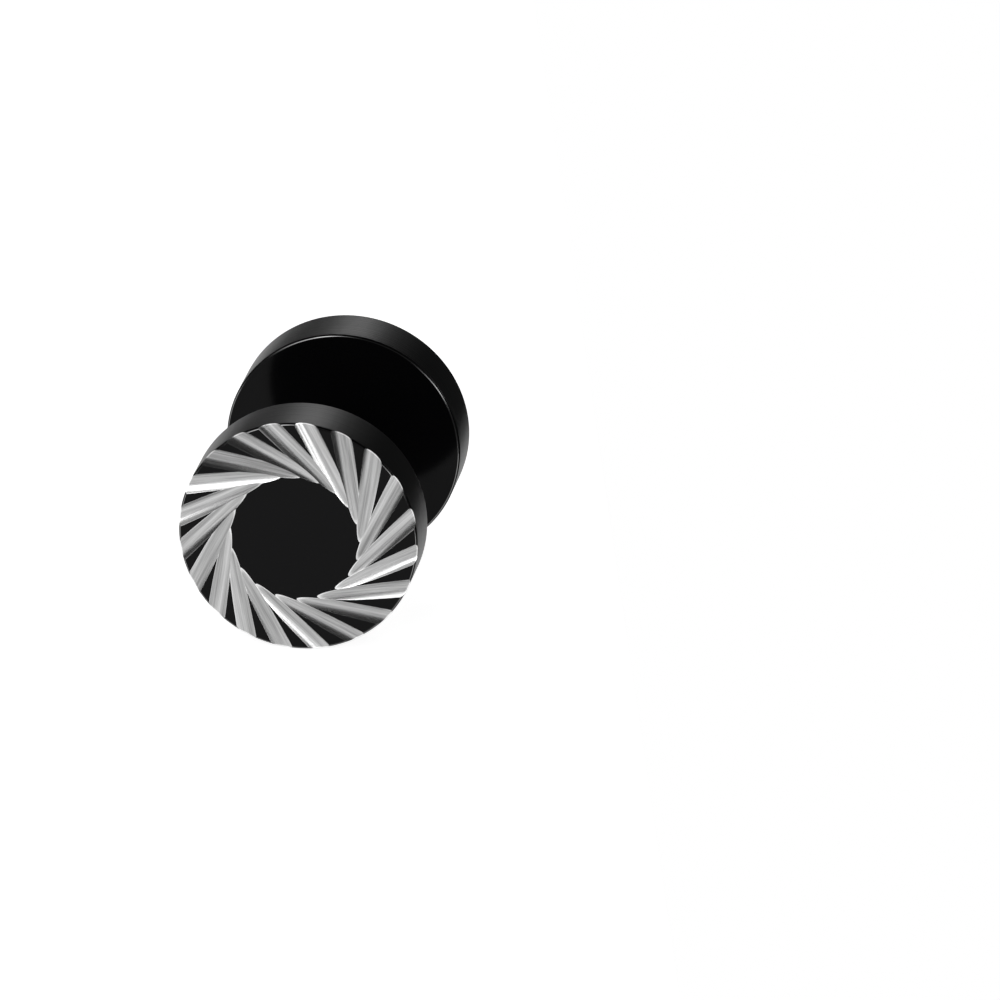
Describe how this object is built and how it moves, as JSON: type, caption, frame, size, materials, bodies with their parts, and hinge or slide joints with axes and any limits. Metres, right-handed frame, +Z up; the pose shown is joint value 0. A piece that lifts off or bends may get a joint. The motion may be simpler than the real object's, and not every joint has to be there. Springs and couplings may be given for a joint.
{
  "type": "fake plug earring",
  "caption": "Fake plug earring lying on its rims: a swirl-cut black front disc, a thin straight post and a plain black back disc that comes off.",
  "frame": {"origin": "on the surface that the earring lies on, under the middle of the post", "axes": "+Y along the post from the cut front disc to the back disc, +Z up, +X to the right as seen from the front"},
  "size_m": [0.008, 0.0104, 0.008],
  "materials": {
    "black_coating": "polished black coated steel, with bare bright steel in the cuts of the front disc"
  },
  "bodies": {
    "root": {"front_disc": "black_coating", "post": "black_coating"},
    "back": {"back_disc": "black_coating"}
  },
  "joints": [
    {"name": "back_disc_off", "type": "slide", "parent": "root", "child": "back", "axis": [0, 1, 0], "range_m": [0, 0.008]}
  ]
}
